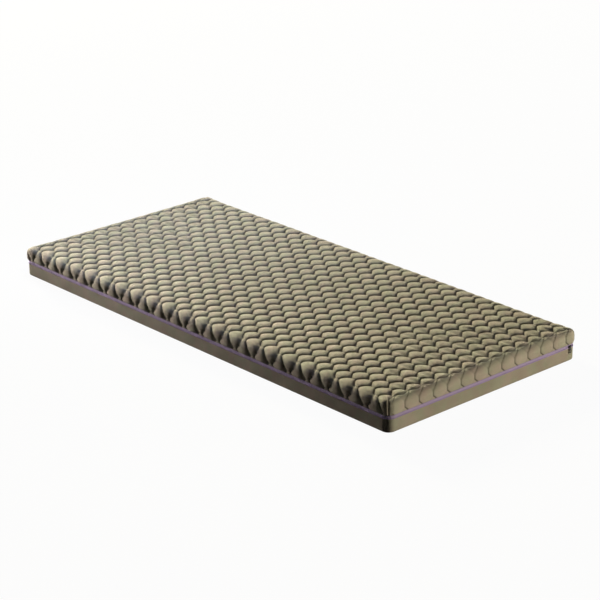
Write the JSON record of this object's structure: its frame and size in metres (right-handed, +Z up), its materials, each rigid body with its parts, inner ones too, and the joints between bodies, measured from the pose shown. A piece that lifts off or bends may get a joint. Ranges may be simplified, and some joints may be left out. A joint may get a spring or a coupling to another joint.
{
  "type": "mattress",
  "caption": "Thin single mattress: foam block in a two-part cover, quilted above and plain below, joined by a coil zip with a slider and pull tab at one corner.",
  "frame": {"origin": "middle of the underside, on the surface that the mattress lies on", "axes": "+X along the length towards the end with the zip slider, +Y across the width towards the slider's corner, +Z up"},
  "size_m": [2.0043, 0.9, 0.11],
  "materials": {
    "quilted_cloth": "matte",
    "plain_cloth": "matte",
    "backing_cloth": "matte",
    "foam": "matte",
    "zip_tape": "matte",
    "zip_coil": "satin",
    "zip_stop": "satin",
    "zip_slider": "satin"
  },
  "bodies": {
    "mattress": {"foam_core": "foam", "quilted_cover": "quilted_cloth", "quilt_backing": "backing_cloth", "plain_cover": "plain_cloth", "upper_zip_tape": "zip_tape", "lower_zip_tape": "zip_tape", "upper_zip_coil": "zip_coil", "lower_zip_coil": "zip_coil", "upper_end_stop": "zip_stop", "lower_end_stop": "zip_stop", "zip_start_stop": "zip_stop"},
    "slider": {"zip_slider": "zip_slider"},
    "pull_tab": {"zip_pull_tab": "zip_slider"}
  },
  "joints": [
    {"name": "zip_slide", "type": "slide", "parent": "mattress", "child": "slider", "axis": [0, -1, 0], "range_m": [0, 0.828]},
    {"name": "tab_swing", "type": "hinge", "parent": "slider", "child": "pull_tab", "pos_m": [1.0026, 0.4145, 0.055], "axis": [0, -1, 0], "range_deg": [-4, 180]}
  ]
}
